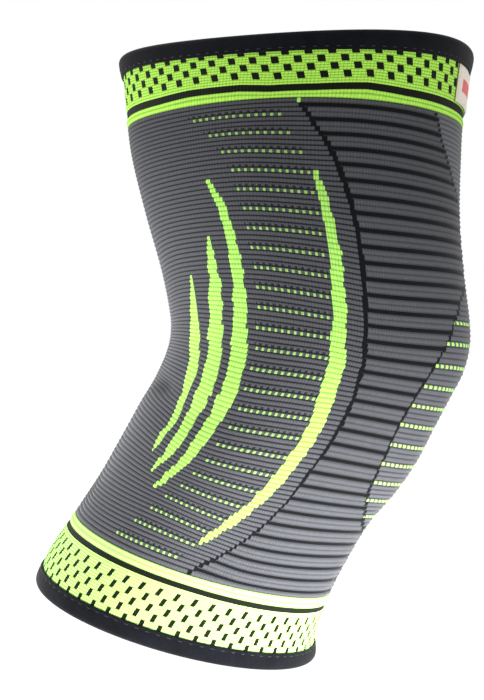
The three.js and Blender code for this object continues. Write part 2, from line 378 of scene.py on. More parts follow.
def over_length(table: Sequence[Sequence[float]], column: int = 1) -> list[tuple[float, float]]:
    """Give a column of a table as curve points over the knit's length.

    Args:
        table: rows that start with a course.
        column: the column to use, in wales.

    Returns:
        Shares of the knit's length and of its half girth.
    """
    return [(row[0] / COURSES, row[column] / WALES) for row in table]


@dataclass(frozen=True, kw_only=True)
class Finish:
    """A surface finish: how its material scatters light; each kind lays out its own colour and relief."""

    name: str
    roughness: float
    specular: float
    sheen: float = 0.0
    sheen_roughness: float = 0.5
    bump: float = 0.6
    relief: float = 0.12
    glow: float = 0.0

    def lay(self, add: Adder) -> tuple[Plug, Plug, Plug]:
        """Lay out the finish's own nodes: its colour, its lightness and its relief, or None for each."""
        raise NotImplementedError

    def make(self) -> bpy.types.Material:
        """Build the material.

        Returns:
            The material, with one shader.
        """
        material = bpy.data.materials.new(self.name)
        material.use_nodes = True
        material.node_tree.nodes.clear()
        add = Bench(material.node_tree).add
        colour, lightness, relief = self.lay(add)
        if lightness is not None:
            colour = add("ShaderNodeHueSaturation", {"Color": colour, "Value": lightness})
        inputs = {"Base Color": colour, "Roughness": self.roughness, "Specular IOR Level": self.specular,
                  "Sheen Weight": self.sheen, "Sheen Roughness": self.sheen_roughness}
        if relief is not None:
            inputs["Normal"] = add("ShaderNodeBump", {"Strength": self.bump, "Distance": self.relief * MM,
                                                      "Height": relief})
        if self.glow > 0:
            inputs |= {"Emission Color": (1, 1, 1, 1), "Emission Strength": self.glow}
        add("ShaderNodeOutputMaterial", [add("ShaderNodeBsdfPrincipled", inputs)])
        return material


def from_back(add: Adder, turn: Plug) -> Plug:
    """Fold a full turn round the leg into a share of the half girth, from the back centre."""
    off_front = add("ABSOLUTE", [add("MULTIPLY_ADD", [turn, 2.0, -1.0])])
    return add("SUBTRACT", [1.0, off_front])


def off_middle(add: Adder, place: Plug, middle: float = 0.5) -> Plug:
    """Find how far a place in a cell is from the cell's middle."""
    return add("ABSOLUTE", [add("SUBTRACT", [place, middle])])


@dataclass(frozen=True)
class Yarn:
    """Single yarns of a knit: uneven along the wales, with loops that stand up between them.

    The loops are drawn twice as wide as real ones, as coarse as the render needs to show them. The yarn
    is darkened between the loops as painted shade and lightened a little on them as a painted highlight.
    """

    grain_scale: float = 0.9
    grain_detail: float = 2.0
    grain_rough: float = 0.6
    grain_shift: float = 0.14
    wales_in_loop: float = 2.0
    loop_edge: float = 0.6
    # Lightness between the loops and on them: painted shade and painted highlight
    shade_between_loops: float = 0.72
    highlight_on_loops: float = 1.06

    def lay(self, add: Adder, wales: Plug, rows: Plug) -> tuple[Plug, Plug, Plug]:
        """Lay out the yarns.

        Args:
            add: the bench's helper.
            wales: place round the leg.
            rows: place along the leg.

        Returns:
            Lightness, with painted shade between the loops and a painted highlight on them; the loops' height
            and the uneven grain.
        """
        at = add("ShaderNodeCombineXYZ", [wales, rows, 0.0])
        grain = add("ShaderNodeTexNoise", {"Vector": at, "Scale": self.grain_scale,
                                           "Detail": self.grain_detail, "Roughness": self.grain_rough})
        lightness = add("ShaderNodeMapRange", [grain, *GRAIN_SPREAD, 1 - self.grain_shift,
                                               1 + self.grain_shift])
        loop = add("SINE", [add("MULTIPLY", [wales, math.pi / self.wales_in_loop])])
        loop = add("ABSOLUTE", [loop])
        # Painted shade between the loops, and a slight painted highlight on them
        loop_shade = add("ShaderNodeMapRange", [loop, 0.0, self.loop_edge, self.shade_between_loops, self.highlight_on_loops])
        return add("MULTIPLY", [lightness, loop_shade]), loop, grain


YARN = Yarn()


@dataclass(frozen=True, kw_only=True)
class JacquardKnit(Finish):
    """Polyamide and elastane jacquard knit, circular knitted: matt yarn in fine horizontal ribs.

    Sizes are in wales across the knit and in courses down it, halves from a course's middle. Sizes of
    dots, notches and dashes are shares of their spacing, and the painted shades of the rib valleys, the fold
    and the top are shares of lightness.
    """

    name: str = "Polyamide jacquard knit"
    crest: str = "#4b4c50"
    # The dark valley colour is painted shade between the ribs
    valley: str = "#18181c"
    front_crest: str = "#4c4d51"
    black: str = "#0a0b0d"
    wedge: str = "#626468"
    lens: str = "#515257"
    lime: str = "#a5dc68"
    # The lime's valley colour is painted shade between its ribs
    lime_shade_colour: str = "#66a030"
    dot_lime: str = "#8cbb5e"
    # How strongly each ground's valleys take the painted shade
    front_shade_share: float = 0.5
    wedge_shade_share: float = 0.6
    lens_shade_share: float = 0.72
    lime_shade_share: float = 0.8
    crest_half: float = 0.2
    valley_from: float = 0.48
    step_lap: float = 0.3
    band_every: int = 3
    first_band: int = 1
    black_half: float = 0.42
    black_taper: float = 0.08
    black_soft: float = 0.03
    wedge_dot_half: float = 1.6
    wedge_dot_tall: float = 0.34
    lens_line_half: float = 1.3
    lens_middle: float = 58.5
    lens_reach: float = 28.1
    first_dashes: int = 41
    dash_pitch: float = 5.8
    dash_share: float = 0.54
    dash_slant: float = 2.0
    dash_tall: float = 0.3
    dots: int = 12
    dots_every: int = 4
    first_dots: int = 3
    dot_half: float = 0.2
    dot_level: float = 0.56
    dot_tall: float = 0.3
    longer_rows: float = 5.0
    notch_half: float = 0.24
    notch_from: float = 0.45
    notch_strength: float = 0.75
    grain_squash: float = 0.7
    # Painted shade deep in the fold behind the knee
    fold_shade: float = 0.6
    # Painted shade towards the thigh band: how far down the knit it reaches, and the lightness at the top
    top_shade_share: float = 0.3
    top_shade_lightness: float = 0.84
    grain_height: float = 0.5
    roughness: float = 0.88
    specular: float = 0.12
    sheen: float = 0.26
    sheen_roughness: float = 0.3

    def lay(self, add: Adder) -> tuple[Plug, Plug, Plug]:
        """Lay out the knit on the course and wale grid of its UV map.

        Args:
            add: the bench's helper.

        Returns:
            Colour, lightness and relief, or None for each.
        """
        # Place on the knit: courses down the leg, wales from the back centre
        place = add("ShaderNodeSeparateXYZ", [add("ShaderNodeUVMap", uv_map=KNIT_UV)])
        down = place.node.outputs["Y"]
        around = from_back(add, place)
        wales = add("MULTIPLY", [around, float(WALES)])
        courses = add("MULTIPLY", [down, float(COURSES)])
        course = add("FLOOR", [courses])
        rise = add("FRACT", [courses])
        wale = add("FLOOR", [wales])
        row = add("MULTIPLY_ADD", [course, 1 / COURSES, 0.5 / COURSES])
        column = add("MULTIPLY_ADD", [wale, 1 / WALES, 0.5 / WALES])
        # Rib shape: 0 on the crest, 1 in the valley; it lays painted shade in the valleys
        off_crest = off_middle(add, rise)
        dip = add("ShaderNodeMapRange", [off_crest, self.crest_half, self.valley_from, 0.0, 1.0],
                  interpolation_type="SMOOTHSTEP")
        # Lime stripes
        lime = None
        for stripe in STRIPES:
            left = add(CURVE, [1.0, row], points=over_length(stripe.left))
            right = add(CURVE, [1.0, row], points=over_length(stripe.right))
            band = add("MULTIPLY", [add("GREATER_THAN", [column, left]), add("LESS_THAN", [column, right])])
            lime = band if lime is None else add("MAXIMUM", [lime, band])
        # Black contour, lime on its first course, and the black-banded front beyond it
        contour_half = add(CURVE, [1.0, row], points=over_length(CONTOUR, 2))
        contour_at, contour = self.edge_line(add, row, column, CONTOUR, contour_half)
        nib = add("MULTIPLY", [contour, add("LESS_THAN", [course, 0.5])])
        front = add("GREATER_THAN", [column, contour_at])
        black_course = add("LESS_THAN", [self.phase(add, course, self.first_band, self.band_every), 0.5])
        black_edge = add("MULTIPLY_ADD", [down, -self.black_taper, self.black_half])
        black_edge = add("SUBTRACT", [black_edge, off_crest])
        black_edge = add("ShaderNodeMapRange", [black_edge, -self.black_soft, self.black_soft, 0.0, 1.0])
        black_course = add("MULTIPLY", [black_course, black_edge])
        # Plain wedge at the top of the front, edged with black dots
        wedge_at = add(CURVE, [1.0, row], points=over_length(WEDGE))
        in_wedge = add("GREATER_THAN", [column, wedge_at])
        wedge_dot = add("MULTIPLY", [add("COMPARE", [column, wedge_at, self.wedge_dot_half / WALES]),
                                     add("LESS_THAN", [off_crest, self.wedge_dot_tall])])
        # Lens below the kneecap, edged with a black line
        lens_at, lens_line = self.edge_line(add, row, column, LENS, self.lens_line_half / WALES)
        lens_rows = add("COMPARE", [course, self.lens_middle, self.lens_reach])
        in_lens = add("MULTIPLY", [add("GREATER_THAN", [column, lens_at]), lens_rows])
        lens_line = add("MULTIPLY", [lens_line, lens_rows])
        # Rows of slanting lime dashes across the lens
        dash_row = add("LESS_THAN", [self.phase(add, course, self.first_dashes, self.dots_every), 0.5])
        low_enough = add("GREATER_THAN", [course, self.first_dashes - 0.5])
        slanted = add("MULTIPLY_ADD", [rise, -self.dash_slant, wales])
        dash_run = add("FRACT", [add("DIVIDE", [slanted, self.dash_pitch])])
        dash = add("LESS_THAN", [dash_run, self.dash_share])
        off_dash = add("LESS_THAN", [off_crest, self.dash_tall])
        for mask in (dash_row, low_enough, off_dash, in_lens):
            dash = add("MULTIPLY", [dash, mask])
        # Rows of dots on the side, one more in the first row, with a dark notch over each gap
        first = add(CURVE, [1.0, row], points=over_length(DOTS))
        last = add(CURVE, [1.0, row], points=over_length(DOTS, 2))
        dot_span = add("SUBTRACT", [last, first])
        dot_run = add("DIVIDE", [add("SUBTRACT", [around, first]), dot_span])
        dot_run = add("MULTIPLY", [dot_run, float(self.dots - 1)])
        run_end = add("ADD", [add("LESS_THAN", [course, self.longer_rows]), self.dots - 0.5])
        in_run = add("MULTIPLY", [add("GREATER_THAN", [dot_run, -0.5]), add("LESS_THAN", [dot_run, run_end])])
        off_dot = off_middle(add, add("FRACT", [add("ADD", [dot_run, 0.5])]))
        off_gap = off_middle(add, add("FRACT", [dot_run]))
        in_four = self.phase(add, course, self.first_dots, self.dots_every)
        dot = add("LESS_THAN", [in_four, 0.5])
        off_level = off_middle(add, rise, self.dot_level)
        for mask in (in_run, add("LESS_THAN", [off_dot, self.dot_half]),
                     add("LESS_THAN", [off_level, self.dot_tall])):
            dot = add("MULTIPLY", [dot, mask])
        notch = add("GREATER_THAN", [in_four, self.dots_every - 1.5])
        for mask in (in_run, add("LESS_THAN", [off_gap, self.notch_half]),
                     add("GREATER_THAN", [rise, self.notch_from]), self.notch_strength):
            notch = add("MULTIPLY", [notch, mask])
        # Yarn colours of each ground: crest, valley with its painted shade, and how strongly that shade is
        # laid
        grounds = ((self.crest, self.valley, 1.0), (self.front_crest, self.valley, self.front_shade_share),
                   (self.wedge, self.valley, self.wedge_shade_share), (self.lens, self.valley, self.lens_shade_share),
                   (self.lime, self.lime_shade_colour, self.lime_shade_share))
        colour, front_colour, wedge_colour, lens_colour, lime_colour = (
            add(MIX, {0: add("MULTIPLY", [dip, share]), 6: linear(crest), 7: linear(valley)},
                out=2, data_type="RGBA") for crest, valley, share in grounds)
        black, lime_yarn = linear(self.black), linear(self.lime)
        front_colour = add(MIX, {0: black_course, 6: front_colour, 7: black}, out=2, data_type="RGBA")
        layers = ((front, front_colour), (in_wedge, wedge_colour), (in_lens, lens_colour), (wedge_dot, black),
                  (lens_line, black), (contour, black), (nib, lime_yarn), (notch, black), (dash, lime_yarn),
                  (dot, linear(self.dot_lime)), (lime, lime_colour))
        for mask, paint in layers:
            colour = add(MIX, {0: mask, 6: colour, 7: paint}, out=2, data_type="RGBA")
        squashed = add("MULTIPLY", [courses, self.grain_squash])
        lightness, loop, grain = YARN.lay(add, wales, squashed)
        # Painted shade: the yarn is darkened deep in the fold behind the knee, and towards the thigh band
        # over the top of the knit
        fold = add("ShaderNodeAttribute", attribute_name="fold", out="Fac")
        painted_fold_shade = add("MULTIPLY_ADD", [fold, -self.fold_shade, 1.0])
        painted_top_shade = add("ShaderNodeMapRange", [down, 0.0, self.top_shade_share, self.top_shade_lightness, 1.0])
        for shade in (painted_fold_shade, painted_top_shade):
            lightness = add("MULTIPLY", [lightness, shade])
        return colour, lightness, add("MULTIPLY_ADD", [grain, self.grain_height, loop])

    def edge_line(self, add: Adder, row: Plug, column: Plug, table: Sequence[Sequence[float]],
                  least: Plug) -> tuple[Plug, Plug]:
        """Draw a line along an edge, wide enough to join each course's stitches to the next one's.

        Args:
            add: the bench's helper.
            row: the course, as a share of the knit's length.
            column: the wale, as a share of the half girth.
            table: the edge's wale at each course.
            least: the least half width, as a share of the half girth.

        Returns:
            The edge's place and a mask of the line.
        """
        next_row = add("ADD", [row, 1 / COURSES])
        here, below = (add(CURVE, [1.0, at], points=over_length(table)) for at in (row, next_row))
        step = add("ABSOLUTE", [add("SUBTRACT", [below, here])])
        half = add("MULTIPLY_ADD", [step, 0.5, self.step_lap / WALES])
        half = add("MAXIMUM", [half, least])
        return here, add("COMPARE", [column, here, half])

    @staticmethod
    def phase(add: Adder, course: Plug, first: int, every: int) -> Plug:
        """Count the courses of a repeat from its first one."""
        return add("FLOORED_MODULO", [add("SUBTRACT", [course, float(first)]), float(every)])


@dataclass(frozen=True, kw_only=True)
class CheckedKnit(Finish):
    """Elastic jacquard band: lime yarn with slanting rows of black blocks, and a line of each colour.

    Lengths away from the knit body are in millimetres, and lengths round the leg shares of the half girth.
    """

    first_row: float
    row_pitch: float
    first_block: float
    block_pitch: float
    stagger: float
    line_from: float
    line_to: float
    span: float = 34.0
    block_width: float = 0.34
    block_height: float = 0.86
    lean: float = 0.12
    ribs_in_row: int = 3
    bead_rows: int = 2
    lime: str = "#a6da52"
    # The lime's valley colour and the valley depth lay painted shade between the ribs
    lime_shade_colour: str = "#569024"
    black: str = "#0b0f06"
    crest_half: float = 0.15
    valley_depth: float = 0.75
    grain_rows: float = 2.0
    block_sink: float = 1.2
    roughness: float = 0.85
    specular: float = 0.12
    sheen: float = 0.04

    def lay(self, add: Adder) -> tuple[Plug, Plug, Plug]:
        """Lay out the band; its knit UV map runs round the leg and away from the knit body.

        Args:
            add: the bench's helper.

        Returns:
            Colour, lightness and relief, or None for each.
        """
        place = add("ShaderNodeSeparateXYZ", [add("ShaderNodeUVMap", uv_map=KNIT_UV)])
        around = from_back(add, place)
        away = add("MULTIPLY", [place.node.outputs["Y"], self.span])
        wales = add("MULTIPLY", [around, float(WALES)])
        # Rows of black blocks, each row a little further round than the last
        rows = add("SUBTRACT", [away, self.first_row])
        rows = add("MULTIPLY_ADD", [rows, 1 / self.row_pitch, 0.5])
        row = add("FLOOR", [rows])
        off_row = add("SUBTRACT", [add("FRACT", [rows]), 0.5])
        blocks = add("MULTIPLY_ADD", [add("SUBTRACT", [around, self.first_block]), 1 / self.block_pitch, 0.5])
        blocks = add("MULTIPLY_ADD", [row, -self.stagger, blocks])
        blocks = add("MULTIPLY_ADD", [off_row, self.lean, blocks])
        off_block = off_middle(add, add("FRACT", [blocks]))
        block = add("GREATER_THAN", [row, -0.5])
        for off, size in ((off_block, self.block_width), (add("ABSOLUTE", [off_row]), self.block_height)):
            block = add("MULTIPLY", [block, add("LESS_THAN", [off, size / 2])])
        line_middle, line_half = (self.line_from + self.line_to) / 2, (self.line_to - self.line_from) / 2
        line = add("COMPARE", [away, line_middle, line_half])
        # Fine ribs across the lime, with painted shade in their valleys
        ribs = add("MULTIPLY", [rows, float(self.ribs_in_row)])
        beads = add("MULTIPLY", [away, self.bead_rows / self.line_from])
        in_edge = add("LESS_THAN", [away, self.line_from])
        ribs = add(MIX, [in_edge, None, ribs, beads], data_type="FLOAT")
        off_crest = off_middle(add, add("FRACT", [ribs]))
        # Painted shade in the rib valleys
        dip = add("ShaderNodeMapRange", [off_crest, self.crest_half, 0.5, 0.0, self.valley_depth],
                  interpolation_type="SMOOTHSTEP")
        lime = add(MIX, {0: dip, 6: linear(self.lime), 7: linear(self.lime_shade_colour)}, out=2, data_type="RGBA")
        dark = add("MAXIMUM", [line, block])
        colour = add(MIX, {0: dark, 6: lime, 7: linear(self.black)}, out=2, data_type="RGBA")
        grain_rows = add("MULTIPLY", [rows, self.grain_rows])
        lightness, loop, _ = YARN.lay(add, wales, grain_rows)
        return colour, lightness, add("MULTIPLY_ADD", [dark, -self.block_sink, loop])


@dataclass(frozen=True, kw_only=True)
class KnitBack(Finish):
    """Inner face of the jacquard: both yarns in small specks, with soft ribs."""

    ground: str
    speck: str
    courses: float
    crest_half: float = 0.2
    # Lightness in the rib valleys: painted shade
    valley_shade_value: float = 0.55
    bump: float = 0.7
    relief: float = 0.15
    roughness: float = 0.92
    specular: float = 0.2
    sheen: float = 0.2

    def lay(self, add: Adder) -> tuple[Plug, Plug, Plug]:
        """Lay out the knit's inner face on its knit UV map.

        Args:
            add: the bench's helper.

        Returns:
            Colour, lightness and relief, or None for each.
        """
        place = add("ShaderNodeSeparateXYZ", [add("ShaderNodeUVMap", uv_map=KNIT_UV)])
        wales = add("MULTIPLY", [place, float(WALES)])
        courses = add("MULTIPLY", [place.node.outputs["Y"], self.courses])
        cell = add("ADD", [add("FLOOR", [wales]), add("FLOOR", [courses])])
        other = add("LESS_THAN", [add("FLOORED_MODULO", [cell, 2.0]), 0.5])
        off_crest = off_middle(add, add("FRACT", [courses]))
        # Painted shade in the rib valleys, which also shapes the ribs' relief
        dip = add("ShaderNodeMapRange", [off_crest, self.crest_half, 0.5, 1.0, self.valley_shade_value],
                  interpolation_type="SMOOTHSTEP")
        colour = add(MIX, {0: other, 6: linear(self.ground), 7: linear(self.speck)}, out=2, data_type="RGBA")
        loop = add("SINE", [add("MULTIPLY", [wales, math.pi])])
        height = add("ADD", [add("ABSOLUTE", [loop]), dip])
        return colour, dip, height


@dataclass(frozen=True, kw_only=True)
class BindingTape(Finish):
    """Brushed polyester binding tape, woven narrow and dyed navy black: very matt, softly fuzzy."""

    name: str = "Brushed polyester tape"
    colour: str = "#07080b"
    fuzz: str = "#101117"
    # Noise of the nap and of its patches: scale, detail, roughness
    nap: tuple[float, float, float] = (1400.0, 3.0, 0.65)
    patch: tuple[float, float, float] = (160.0, 2.0, 0.5)
    contrast: float = 0.15
    bump: float = 0.5
    relief: float = 0.2
    roughness: float = 0.95
    specular: float = 0.1
    sheen: float = 0.08
    sheen_roughness: float = 0.4

    def lay(self, add: Adder) -> tuple[Plug, Plug, Plug]:
        """Lay out the tape's fuzzy nap.

        Args:
            add: the bench's helper.

        Returns:
            Colour, lightness and relief, or None for each.
        """
        place = add("ShaderNodeTexCoord", out="Object")
        nap, patch = (
            add("ShaderNodeTexNoise", {"Vector": place, "Scale": scale, "Detail": detail, "Roughness": rough})
            for scale, detail, rough in (self.nap, self.patch))
        shade = add("MULTIPLY_ADD", [nap, 0.5, add("MULTIPLY", [patch, 0.5])])
        shade = add("ShaderNodeMapRange", [shade, 0.5 - self.contrast, 0.5 + self.contrast, 0.0, 1.0])
        colour = add(MIX, {0: shade, 6: linear(self.colour), 7: linear(self.fuzz)}, out=2, data_type="RGBA")
        return colour, None, nap


@dataclass(frozen=True, kw_only=True)
class SewingThread(Finish):
    """Spun polyester sewing thread: slightly glossy, twisted."""

    colour: str
    twist_scale: float = 2500.0
    darkest: float = 0.75
    lightest: float = 1.2
    roughness: float = 0.6
    specular: float = 0.4

    def lay(self, add: Adder) -> tuple[Plug, Plug, Plug]:
        """Lay out the thread, a little uneven along its length.

        Args:
            add: the bench's helper.

        Returns:
            Colour, lightness and relief, or None for each.
        """
        place = add("ShaderNodeTexCoord", out="Object")
        twist = add("ShaderNodeTexNoise", {"Vector": place, "Scale": self.twist_scale, "Detail": 1.0})
        value = add("ShaderNodeMapRange", [twist, *PATCH_SPREAD, self.darkest, self.lightest])
        return linear(self.colour), value, None


@dataclass(frozen=True, kw_only=True)
class WovenLabel(Finish):
    """Damask woven polyester label: smooth pale satin with a plain red bar."""

    name: str = "Damask woven label"
    ground: str = "#cdc4b6"
    bar: str = "#c42f2c"
    bar_half_width: float = 0.43
    bar_half_height: float = 0.17
    threads: float = 60.0
    darkest: float = 0.9
    lightest: float = 1.05
    bump: float = 0.4
    relief: float = 0.08
    roughness: float = 0.55
    specular: float = 0.4
    sheen: float = 0.1

    def lay(self, add: Adder) -> tuple[Plug, Plug, Plug]:
        """Lay out the label's cloth on its own UV map, across it and down it.

        Args:
            add: the bench's helper.

        Returns:
            Colour, lightness and relief, or None for each.
        """
        place = add("ShaderNodeSeparateXYZ", [add("ShaderNodeUVMap", uv_map=KNIT_UV)])
        down = place.node.outputs["Y"]
        bar = add("MULTIPLY", [add("COMPARE", [place, 0.5, self.bar_half_width]),
                               add("COMPARE", [down, 0.5, self.bar_half_height])])
        colour = add(MIX, {0: bar, 6: linear(self.ground), 7: linear(self.bar)}, out=2, data_type="RGBA")
        weft = add("SINE", [add("MULTIPLY", [down, self.threads * math.pi])])
        weft = add("ABSOLUTE", [weft])
        value = add("ShaderNodeMapRange", [weft, 0.0, 1.0, self.darkest, self.lightest])
        return colour, value, weft


@dataclass(frozen=True, kw_only=True)
class StudioFloor(Finish):
    """Seamless paper floor, pale and matt, with the slightest mottling."""

    name: str = "Pale paper floor"
    colour: str = "#f4f4f2"
    pulp_scale: float = 12.0
    darkest: float = 0.98
    roughness: float = 0.9
    specular: float = 0.1
    glow: float = 0.2

    def lay(self, add: Adder) -> tuple[Plug, Plug, Plug]:
        """Lay out the paper.

        Args:
            add: the bench's helper.

        Returns:
            Colour, lightness and relief, or None for each.
        """
        place = add("ShaderNodeTexCoord", out="Object")
        pulp = add("ShaderNodeTexNoise", {"Vector": place, "Scale": self.pulp_scale, "Detail": 2.0})
        value = add("ShaderNodeMapRange", [pulp, *PATCH_SPREAD, self.darkest, 1.0])
        return linear(self.colour), value, None


def sweep(name: str, points: np.ndarray, turn: np.ndarray, down: np.ndarray, closed: bool = True,
          **attributes: np.ndarray) -> bpy.types.Object:
    """Make a piece from rows of points, each row joined to the next and the last to the first.

    Args:
        name: the piece's name.
        points: rows, columns and coordinates in millimetres.
        turn: UV place of each column, with one more for the closing column of a ring.
        down: UV place of each row.
        closed: whether the columns close into a ring; otherwise both ends are capped.
        attributes: point values to store on the mesh, rows by columns.

    Returns:
        The piece, with its faces pointing out.
    """
    rows, columns = points.shape[:2]
    spans = columns if closed else columns - 1
    j, k = np.meshgrid(np.arange(rows), np.arange(spans), indexing="ij")
    j, k = j.ravel(), k.ravel()
    next_row, next_column = (j + 1) % rows, (k + 1) % columns
    faces = np.stack([j * columns + k, next_row * columns + k, next_row * columns + next_column,
                      j * columns + next_column], -1)
    uvs = np.stack([np.stack([turn[k], down[j]], -1), np.stack([turn[k], down[next_row]], -1),
                    np.stack([turn[k + 1], down[next_row]], -1), np.stack([turn[k + 1], down[j]], -1)], 1)
    if not closed:
        half = rows // 2
        front = np.arange(half - 1)
        back = rows - 1 - front
        for column, order in ((0, 1), (columns - 1, -1)):
            loop = np.stack([front, back, back - 1, front + 1], -1)[:, ::order]
            faces = np.concatenate([faces, loop * columns + column])
            edge = np.stack([np.full(loop.shape, turn[column]), down[loop]], -1)
            uvs = np.concatenate([uvs, edge])
    mesh = bpy.data.meshes.new(name)
    mesh.from_pydata((points.reshape(-1, 3) * MM).tolist(), [], faces.tolist())
    layer = mesh.uv_layers.new(name=KNIT_UV)
    layer.data.foreach_set("uv", uvs.reshape(-1).astype(np.float32))
    for key, values in attributes.items():
        spread = np.broadcast_to(values, (rows, columns)).reshape(-1).astype(np.float32)
        mesh.attributes.new(key, "FLOAT", "POINT").data.foreach_set("value", spread)
    work = bmesh.new()
    work.from_mesh(mesh)
    if work.calc_volume(signed=True) < 0:
        bmesh.ops.reverse_faces(work, faces=work.faces)
    for face in work.faces:
        face.smooth = True
    work.to_mesh(mesh)
    work.free()
    piece = bpy.data.objects.new(name, mesh)
    bpy.context.scene.collection.objects.link(piece)
    return piece


def run_nodes(piece: bpy.types.Object, tree: bpy.types.NodeTree, inputs: Mapping[str, Any]) -> None:
    """Run a Geometry Nodes tree on a piece and keep its result as a plain mesh.

    Args:
        piece: the piece to change.
        tree: the tree to run.
        inputs: values for the tree's named inputs.
    """
    modifier = piece.modifiers.new(tree.name, "NODES")
    modifier.node_group = tree
    for item in tree.interface.items_tree:
        if item.item_type == "SOCKET" and item.in_out == "INPUT" and item.name in inputs:
            modifier[item.identifier] = inputs[item.name]
    graph = bpy.context.evaluated_depsgraph_get()
    mesh = bpy.data.meshes.new_from_object(piece.evaluated_get(graph), preserve_all_data_layers=True,
                                           depsgraph=graph)
    piece.modifiers.clear()
    old = piece.data
    piece.data = mesh
    bpy.data.meshes.remove(old)
    mesh.name = piece.name


def rib_tree() -> bpy.types.NodeTree:
    """Lay out the tree that raises knitted ribs from a smooth wall.

    Returns:
        A tree that reads each point's course, whether it is outside, and how far it is in the front.
    """
    outer_share = 0.6
    tree = bpy.data.node_groups.new("Knitted ribs", "GeometryNodeTree")
    sockets = (("Geometry", "NodeSocketGeometry"), ("Rib height", "NodeSocketFloat"),
               ("Band depth", "NodeSocketFloat"), ("Outer knit", "NodeSocketMaterial"),
               ("Inner knit", "NodeSocketMaterial"))
    for label, kind in sockets:
        tree.interface.new_socket(name=label, in_out="INPUT", socket_type=kind)
    tree.interface.new_socket(name="Geometry", in_out="OUTPUT", socket_type="NodeSocketGeometry")
    add = Bench(tree).add
    given = add("NodeGroupInput").node.outputs
    course, outside, front = (add("GeometryNodeInputNamedAttribute", {"Name": key}, data_type="FLOAT")
                              for key in ("course", "outside", "front"))
    wave = add("SINE", [add("MULTIPLY", [course, math.pi])])
    wave = add("MULTIPLY", [wave, wave])
    rib = add("MULTIPLY", [wave, given["Rib height"]])
    third = add("MULTIPLY_ADD", [course, 2 * math.pi / 3, -math.pi])
    band = add("MAXIMUM", [add("COSINE", [third]), 0.0])
    band = add("MULTIPLY", [add("MULTIPLY", [band, front]), given["Band depth"]])
    lift = add("MULTIPLY", [add("SUBTRACT", [rib, band]), outside])
    offset = add("ShaderNodeVectorMath", {0: add("GeometryNodeInputNormal"), "Scale": lift},
                 operation="SCALE")
    raised = add("GeometryNodeSetPosition", {"Geometry": given["Geometry"], "Offset": offset})
    raised = add("GeometryNodeRealizeInstances", [raised])
    backed = add("GeometryNodeSetMaterial", {"Geometry": raised, "Material": given["Inner knit"]})
    shown = add("GREATER_THAN", [outside, outer_share])
    faced = add("GeometryNodeSetMaterial", {"Geometry": backed, "Selection": shown,
                                            "Material": given["Outer knit"]})
    add("NodeGroupOutput", [faced])
    return tree


def stitch_tree() -> bpy.types.NodeTree:
    """Lay out the tree that sews a row of stitches along a path.

    Returns:
        A tree that turns a path of edges into small threads lying along it.
    """
    tree = bpy.data.node_groups.new("Row of stitches", "GeometryNodeTree")
    sockets = (("Geometry", "NodeSocketGeometry"), ("Pitch", "NodeSocketFloat"),
               ("Length", "NodeSocketFloat"), ("Thickness", "NodeSocketFloat"),
               ("Thread", "NodeSocketMaterial"))
    for label, kind in sockets:
        tree.interface.new_socket(name=label, in_out="INPUT", socket_type=kind)
    tree.interface.new_socket(name="Geometry", in_out="OUTPUT", socket_type="NodeSocketGeometry")
    add = Bench(tree).add
    given = add("NodeGroupInput").node.outputs
    path = add("GeometryNodeMeshToCurve", {"Mesh": given["Geometry"]})
    spots = add("GeometryNodeCurveToPoints", {"Curve": path, "Length": given["Pitch"]}, mode="LENGTH")
    thread = add("GeometryNodeMeshUVSphere", {"Segments": 6, "Rings": 6, "Radius": 0.5})
    size = add("ShaderNodeCombineXYZ", [given["Thickness"], given["Thickness"], given["Length"]])
    sewn = add("GeometryNodeInstanceOnPoints", {"Points": spots, "Instance": thread,
                                                "Rotation": spots.node.outputs["Rotation"], "Scale": size})
    sewn = add("GeometryNodeRealizeInstances", [sewn])
    sewn = add("GeometryNodeSetShadeSmooth", {"Geometry": sewn})
    sewn = add("GeometryNodeSetMaterial", {"Geometry": sewn, "Material": given["Thread"]})
    add("NodeGroupOutput", [sewn])
    return tree


def sew(name: str, path: np.ndarray, pitch: float, length: float, thickness: float,
        thread: bpy.types.Material, tree: bpy.types.NodeTree) -> bpy.types.Object:
    """Sew a row of stitches along a closed path.

    Args:
        name: the piece's name.
        path: points in millimetres.
        pitch: distance between stitches in millimetres.
        length: length of a stitch in millimetres.
        thickness: thickness of the thread in millimetres.
        thread: the thread's material.
        tree: the stitch tree.

    Returns:
        The stitches as one plain mesh.
    """
    count = len(path)
    edges = [(i, (i + 1) % count) for i in range(count)]
    mesh = bpy.data.meshes.new(name)
    mesh.from_pydata((path * MM).tolist(), edges, [])
    piece = bpy.data.objects.new(name, mesh)
    bpy.context.scene.collection.objects.link(piece)
    run_nodes(piece, tree, {"Pitch": pitch * MM, "Length": length * MM, "Thickness": thickness * MM,
                            "Thread": thread})
    return piece


def declare(piece: bpy.types.Object, slot: str, *nodes: str) -> None:
    """Tie a piece to the frame and report it.

    Args:
        piece: the finished piece.
        slot: the record's material slot; not used.
        nodes: the CAD nodes that it stands for.
    """
    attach(piece, BODY)
    if nodes:
        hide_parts(*nodes)
    triangles = sum(len(face.vertices) - 2 for face in piece.data.polygons)
    log.info("%s: %d triangles", piece.name, triangles)


def ring_columns(count: int) -> tuple[np.ndarray, np.ndarray, np.ndarray]:
    """Space columns evenly round the leg, from the back centre.

    Args:
        count: the number of columns.

    Returns:
        UV turns with the closing one, shares of the half girth, and the side of each column.
    """
    turn = np.arange(count + 1) / count
    around = 1 - np.abs(2 * turn[:-1] - 1)
    side = np.where(turn[:-1] <= 0.5, -1.0, 1.0)
    return turn, around, side


